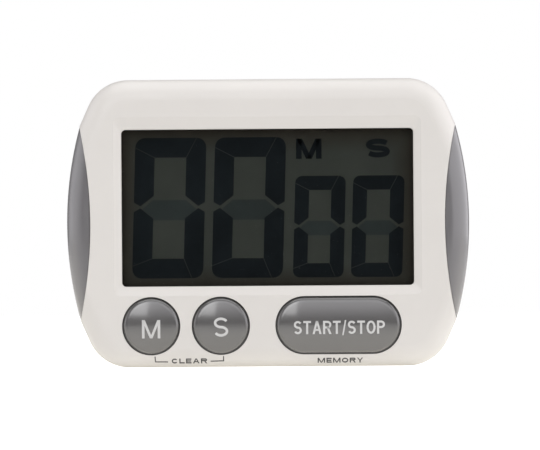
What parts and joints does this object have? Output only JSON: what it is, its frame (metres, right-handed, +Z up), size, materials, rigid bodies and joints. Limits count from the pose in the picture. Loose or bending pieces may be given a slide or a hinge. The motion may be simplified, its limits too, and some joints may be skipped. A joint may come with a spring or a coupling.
{
  "type": "digital countdown timer",
  "caption": "Hand-sized digital countdown timer for darkroom enlarging: wide LCD, domed push buttons, grey side grips, folding stand, sliding battery door.",
  "frame": {"origin": "middle of the base that the timer stands on, at z = 0", "axes": "+X to the right of the display, +Y from the display to the back, +Z up"},
  "size_m": [0.098, 0.022, 0.07],
  "materials": {
    "shell_plastic": "satin moulded ABS, off-white",
    "grip_plastic": "satin grey moulding",
    "button_plastic": "glossy metallic grey paint on plastic",
    "lens_plastic": "polished clear acrylic",
    "gasket_foam": "black foam tape",
    "polariser_film": "smooth dark grey film",
    "lcd_glass": "polished thin glass",
    "reflector_film": "fine-grained silver-grey film",
    "frame_plastic": "plain natural moulding",
    "screw_steel": "zinc plated",
    "zebra_rubber": "pink silicone with black carbon layers",
    "board_laminate": "green solder mask on laminate",
    "epoxy": "glossy black potting",
    "crystal_can": "drawn metal can",
    "chip_ceramic": "tan ceramic chips with tinned ends",
    "keypad_rubber": "translucent white silicone",
    "carbon_pill": "matt carbon-loaded rubber",
    "magnet_plating": "nickel plated",
    "cell_jacket": "printed film over a steel can",
    "contact_steel": "nickel-plated spring steel",
    "buzzer_brass": "plain rolled brass",
    "buzzer_ceramic": "silvered ceramic"
  },
  "bodies": {
    "casing": {"front_shell": "shell_plastic", "rear_shell": "shell_plastic", "left_grip": "grip_plastic", "right_grip": "grip_plastic", "display_lens": "lens_plastic", "lens_gasket": "gasket_foam", "lcd_front_polariser": "polariser_film", "lcd_front_glass": "lcd_glass", "lcd_rear_glass": "lcd_glass", "lcd_reflector": "reflector_film", "lcd_frame": "frame_plastic", "zebra_strip": "zebra_rubber", "circuit_board": "board_laminate", "board_screws": "screw_steel", "case_screws": "screw_steel", "controller_blob": "epoxy", "crystal": "crystal_can", "small_components": "chip_ceramic", "keypad_mat": "keypad_rubber", "battery_cell": "cell_jacket", "battery_spring": "contact_steel", "battery_plate": "contact_steel", "magnets": "magnet_plating", "buzzer_disc": "buzzer_brass", "buzzer_ceramic": "buzzer_ceramic", "buzzer_contacts": "contact_steel"},
    "minutes_button": {"minutes_button": "button_plastic", "minutes_pill": "carbon_pill"},
    "seconds_button": {"seconds_button": "button_plastic", "seconds_pill": "carbon_pill"},
    "start_stop_button": {"start_stop_button": "button_plastic", "start_stop_pill": "carbon_pill"},
    "stand": {"stand": "shell_plastic"},
    "battery_door": {"battery_door": "shell_plastic"}
  },
  "joints": [
    {"name": "minutes_press", "type": "slide", "parent": "casing", "child": "minutes_button", "axis": [0, 1, 0], "range_m": [0, 0.0008], "stiffness_N_per_m": 400, "springref_m": -0.0005, "deforming": ["keypad_mat"]},
    {"name": "seconds_press", "type": "slide", "parent": "casing", "child": "seconds_button", "axis": [0, 1, 0], "range_m": [0, 0.0008], "stiffness_N_per_m": 400, "springref_m": -0.0005, "deforming": ["keypad_mat"]},
    {"name": "start_stop_press", "type": "slide", "parent": "casing", "child": "start_stop_button", "axis": [0, 1, 0], "range_m": [0, 0.0008], "stiffness_N_per_m": 400, "springref_m": -0.0005, "deforming": ["keypad_mat"]},
    {"name": "stand_fold", "type": "hinge", "parent": "casing", "child": "stand", "pos_m": [0, 0.0094, 0.037], "axis": [1, 0, 0], "range_deg": [0, 35]},
    {"name": "battery_door_slide", "type": "slide", "parent": "casing", "child": "battery_door", "axis": [0, 0, 1], "range_m": [0, 0.026]}
  ]
}
